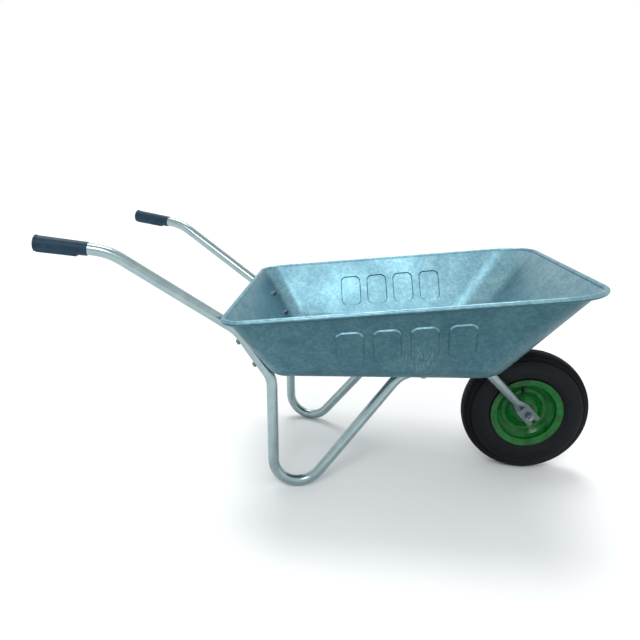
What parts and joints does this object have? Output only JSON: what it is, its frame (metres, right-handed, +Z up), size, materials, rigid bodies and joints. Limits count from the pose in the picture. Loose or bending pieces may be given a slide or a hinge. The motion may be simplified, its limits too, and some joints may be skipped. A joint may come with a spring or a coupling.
{
  "type": "wheelbarrow",
  "caption": "Builder's wheelbarrow: deep pressed galvanised tray on bent tube side frames with feet and hand grips, and one free-turning pneumatic wheel.",
  "frame": {"origin": "on the ground, at the middle of the barrow's length and width", "axes": "+X from the grips to the wheel, +Y to the user's left, +Z up"},
  "size_m": [1.5095, 0.739, 0.6908],
  "materials": {
    "galvanised_sheet": "hot-dip galvanised, faint spangle",
    "galvanised_tube": "galvanised, bright",
    "green_paint": "gloss green enamel",
    "grip_plastic": "satin dark blue-green plastic",
    "tyre_rubber": "black rubber, slight sheen",
    "tube_rubber": "matt black butyl",
    "cap_plastic": "matt black",
    "bearing_steel": "ground bearing steel",
    "zinc_fasteners": "bright zinc plated"
  },
  "bodies": {
    "frame": {"axle": "zinc_fasteners", "axle_nut_left": "zinc_fasteners", "axle_nut_right": "zinc_fasteners", "axle_spacer_left": "zinc_fasteners", "axle_spacer_right": "zinc_fasteners", "axle_washer_left": "zinc_fasteners", "axle_washer_right": "zinc_fasteners", "bearing_inner_race_left": "bearing_steel", "bearing_inner_race_right": "bearing_steel", "cross_strap_front": "galvanised_tube", "cross_strap_rear": "galvanised_tube", "floor_bolt_nuts": "zinc_fasteners", "floor_bolt_washers": "zinc_fasteners", "floor_bolts": "zinc_fasteners", "frame_tube_left": "galvanised_tube", "frame_tube_right": "galvanised_tube", "grip_left": "grip_plastic", "grip_right": "grip_plastic", "tray": "galvanised_sheet", "wall_bolt_nuts": "zinc_fasteners", "wall_bolt_washers": "zinc_fasteners", "wall_bolts": "zinc_fasteners"},
    "wheel": {"bearing_balls_left": "bearing_steel", "bearing_balls_right": "bearing_steel", "bearing_outer_race_left": "bearing_steel", "bearing_outer_race_right": "bearing_steel", "hub_tube": "green_paint", "inner_tube": "tube_rubber", "rim_half_left": "green_paint", "rim_half_right": "green_paint", "tyre": "tyre_rubber", "valve_cap": "cap_plastic", "valve_stem": "tube_rubber"}
  },
  "joints": [
    {"name": "wheel_spin", "type": "hinge", "parent": "frame", "child": "wheel", "pos_m": [0.564, 0, 0.19], "axis": [0, 1, 0], "continuous": true}
  ]
}
